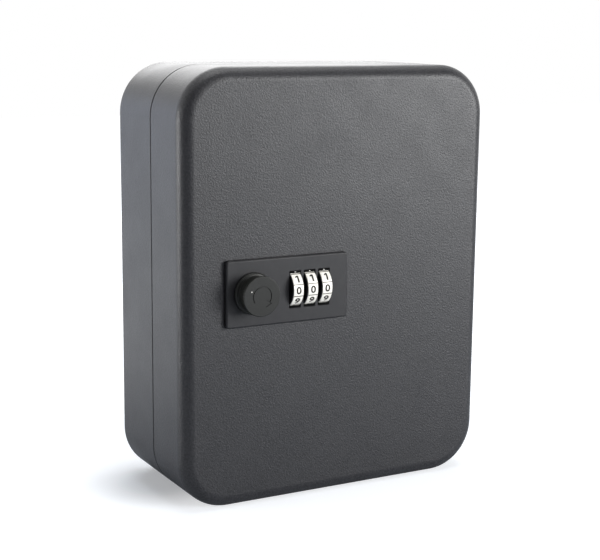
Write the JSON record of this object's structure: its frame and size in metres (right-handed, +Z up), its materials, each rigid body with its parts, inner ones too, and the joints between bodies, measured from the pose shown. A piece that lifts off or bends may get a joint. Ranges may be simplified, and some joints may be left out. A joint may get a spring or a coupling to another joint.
{
  "type": "key cabinet",
  "caption": "Steel key cabinet with a deep hinged door, rows of key hooks inside, and a lock plate with number wheels and a turning knob.",
  "frame": {"origin": "centre of the flat back face that lies on the wall", "axes": "+X to the right seen from the front, +Y into the wall, +Z up; the door faces -Y"},
  "size_m": [0.2029, 0.104, 0.25],
  "materials": {
    "powder_coat": "fine-textured charcoal powder coat",
    "zinc_steel": "zinc-plated sheet, satin",
    "steel": "bright machined steel",
    "spring_steel": "blued spring steel",
    "black_plastic": "satin black moulded plastic",
    "wheel_plastic": "black moulded plastic",
    "aluminium": "brushed band with printed digits",
    "card": "white printed label strip",
    "red_plastic": "red moulded plastic"
  },
  "bodies": {
    "cabinet": {"body_shell": "powder_coat", "strike_bracket": "zinc_steel", "body_hook_rack_1": "zinc_steel", "body_hook_rack_2": "zinc_steel", "body_hook_rack_3": "zinc_steel", "body_hook_rack_4": "zinc_steel", "body_label_1": "card", "body_label_2": "card", "body_label_3": "card", "body_label_4": "card", "body_hinge_leaf_1": "steel", "body_hinge_leaf_2": "steel", "hinge_pin_1": "steel", "hinge_pin_2": "steel"},
    "door": {"door_shell": "powder_coat", "door_hinge_leaf_1": "steel", "door_hinge_leaf_2": "steel", "door_hook_rack_1": "zinc_steel", "door_hook_rack_2": "zinc_steel", "door_hook_rack_3": "zinc_steel", "door_hook_rack_4": "zinc_steel", "door_label_1": "card", "door_label_2": "card", "door_label_3": "card", "door_label_4": "card", "lock_plate": "black_plastic", "lock_case": "black_plastic", "case_cover": "black_plastic", "wheel_axle": "steel", "detent_spring": "spring_steel", "cover_screw_1": "steel", "cover_screw_2": "steel", "cover_screw_3": "steel", "cover_screw_4": "steel"},
    "knob": {"knob": "black_plastic", "knob_spindle": "steel", "bar_lobe": "steel", "latch_cam": "zinc_steel", "cam_washer": "steel", "cam_nut": "steel"},
    "bar": {"lock_bar": "zinc_steel"},
    "slider": {"code_slider": "red_plastic"},
    "wheel_1": {"number_wheel_1": "wheel_plastic", "digit_band_1": "aluminium", "code_disc_1": "wheel_plastic"},
    "wheel_2": {"number_wheel_2": "wheel_plastic", "digit_band_2": "aluminium", "code_disc_2": "wheel_plastic"},
    "wheel_3": {"number_wheel_3": "wheel_plastic", "digit_band_3": "aluminium", "code_disc_3": "wheel_plastic"}
  },
  "joints": [
    {"name": "door_hinge", "type": "hinge", "parent": "cabinet", "child": "door", "pos_m": [0.1003, -0.048, 0], "axis": [0, 0, 1], "range_deg": [0, 170]},
    {"name": "knob_turn", "type": "hinge", "parent": "door", "child": "knob", "pos_m": [-0.0579, -0.0933, 0], "axis": [0, 1, 0], "range_deg": [0, 90]},
    {"name": "bar_lift", "type": "slide", "parent": "door", "child": "bar", "axis": [0, 0, 1], "range_m": [0, 0.002]},
    {"name": "code_slide", "type": "slide", "parent": "door", "child": "slider", "axis": [1, 0, 0], "range_m": [0, 0.003]},
    {"name": "wheel_1_turn", "type": "hinge", "parent": "door", "child": "wheel_1", "pos_m": [-0.0312, -0.0868, 0], "axis": [1, 0, 0], "continuous": true},
    {"name": "wheel_2_turn", "type": "hinge", "parent": "door", "child": "wheel_2", "pos_m": [-0.02185, -0.0868, 0], "axis": [1, 0, 0], "continuous": true},
    {"name": "wheel_3_turn", "type": "hinge", "parent": "door", "child": "wheel_3", "pos_m": [-0.0125, -0.0868, 0], "axis": [1, 0, 0], "continuous": true}
  ],
  "couplings": [
    {"joint": "bar_lift", "follows": "knob_turn", "m_per_rad": 0.001273}
  ]
}
